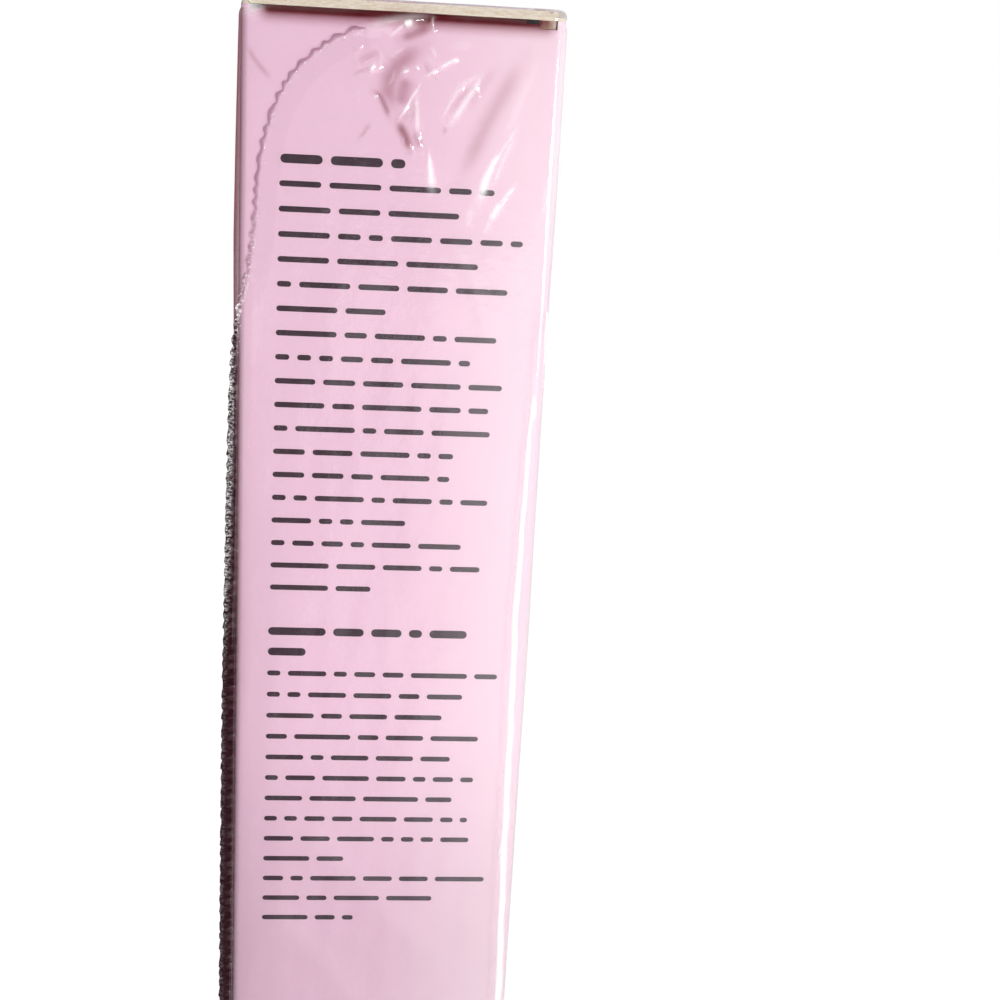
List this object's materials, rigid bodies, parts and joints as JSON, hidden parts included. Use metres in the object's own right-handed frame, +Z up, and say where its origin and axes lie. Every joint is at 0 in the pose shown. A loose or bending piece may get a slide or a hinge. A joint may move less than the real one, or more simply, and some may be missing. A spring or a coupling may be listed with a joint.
{
  "type": "nail oil pen in carton",
  "caption": "Twist-up nail oil pen with a brush tip, inside a tall square paperboard carton with a hinged tuck lid and a clear film wrap.",
  "frame": {"origin": "middle of the flat underside that the wrapped carton stands on", "axes": "+Z up along the carton and the pen, -Y out of the panel that the picture shows, +X to that panel's right, where the lid tucks in"},
  "size_m": [0.0231, 0.0225, 0.1503],
  "materials": {
    "printed_board": "pink print on coated paperboard, satin, with cream cut edges",
    "raw_board": "uncoated inner face of paperboard",
    "clear_film": "clear heat-shrunk polyolefin film, glossy and wrinkled",
    "pink_plastic": "injection-moulded, glossy",
    "cap_plastic": "injection-moulded, glossy, tinted",
    "white_plastic": "natural polypropylene, satin",
    "plated_metal": "rose-gold anodised",
    "seal_rubber": "moulded nitrile rubber",
    "brush_nylon": "fine nylon brush hair"
  },
  "bodies": {
    "carton": {"carton_sleeve": "printed_board", "glue_flap": "raw_board", "bottom_panel": "printed_board", "bottom_tuck_flap": "printed_board", "bottom_dust_flaps": "printed_board", "film_sleeve": "clear_film", "film_seam": "clear_film", "film_edge_fold": "clear_film", "film_bottom_end": "clear_film"},
    "lid": {"lid_panel": "printed_board", "film_top_end": "clear_film"},
    "tuck": {"tuck_flap": "printed_board"},
    "front_dust": {"front_dust_flap": "printed_board"},
    "back_dust": {"back_dust_flap": "printed_board"},
    "pen": {"barrel": "pink_plastic", "collar_ring": "plated_metal", "nozzle_block": "white_plastic", "neck_seal": "seal_rubber", "feed_tube": "white_plastic", "ferrule": "plated_metal", "brush_hair": "brush_nylon", "rear_bush": "white_plastic", "click_ring": "white_plastic", "guide_bush": "white_plastic"},
    "cap": {"cap_shell": "cap_plastic", "cap_liner": "white_plastic"},
    "knob": {"knob": "pink_plastic", "knob_plug": "plated_metal", "driver_tube": "white_plastic"},
    "rod": {"lead_screw": "white_plastic", "piston": "white_plastic", "piston_seals": "seal_rubber"}
  },
  "joints": [
    {"name": "pen_lift", "type": "slide", "parent": "carton", "child": "pen", "axis": [0, 0, 1], "range_m": [0, 0.075]},
    {"name": "lid_hinge", "type": "hinge", "parent": "carton", "child": "lid", "pos_m": [-0.011, 0, 0.15012], "axis": [0, -1, 0], "range_deg": [0, 165]},
    {"name": "tuck_fold", "type": "hinge", "parent": "lid", "child": "tuck", "pos_m": [0.01025, 0, 0.15012], "axis": [0, -1, 0], "range_deg": [0, 30]},
    {"name": "front_dust_hinge", "type": "hinge", "parent": "carton", "child": "front_dust", "pos_m": [0, -0.011, 0.14947], "axis": [1, 0, 0], "range_deg": [0, 160]},
    {"name": "back_dust_hinge", "type": "hinge", "parent": "carton", "child": "back_dust", "pos_m": [0, 0.011, 0.14947], "axis": [-1, 0, 0], "range_deg": [0, 160]},
    {"name": "cap_pull", "type": "slide", "parent": "pen", "child": "cap", "axis": [0, 0, 1], "range_m": [0, 0.021]},
    {"name": "knob_twist", "type": "hinge", "parent": "pen", "child": "knob", "pos_m": [0, 0, 0.00157], "axis": [0, 0, 1], "range_deg": [0, 5041]},
    {"name": "screw_drive", "type": "slide", "parent": "pen", "child": "rod", "axis": [0, 0, 1], "range_m": [0, 0.028]}
  ],
  "couplings": [
    {"joint": "lid_hinge", "follows": "pen_lift", "rad_per_m": 38.39},
    {"joint": "tuck_fold", "follows": "pen_lift", "rad_per_m": 6.98},
    {"joint": "front_dust_hinge", "follows": "pen_lift", "rad_per_m": 37.23},
    {"joint": "back_dust_hinge", "follows": "pen_lift", "rad_per_m": 37.23},
    {"joint": "knob_twist", "follows": "screw_drive", "rad_per_m": 3141.6}
  ]
}
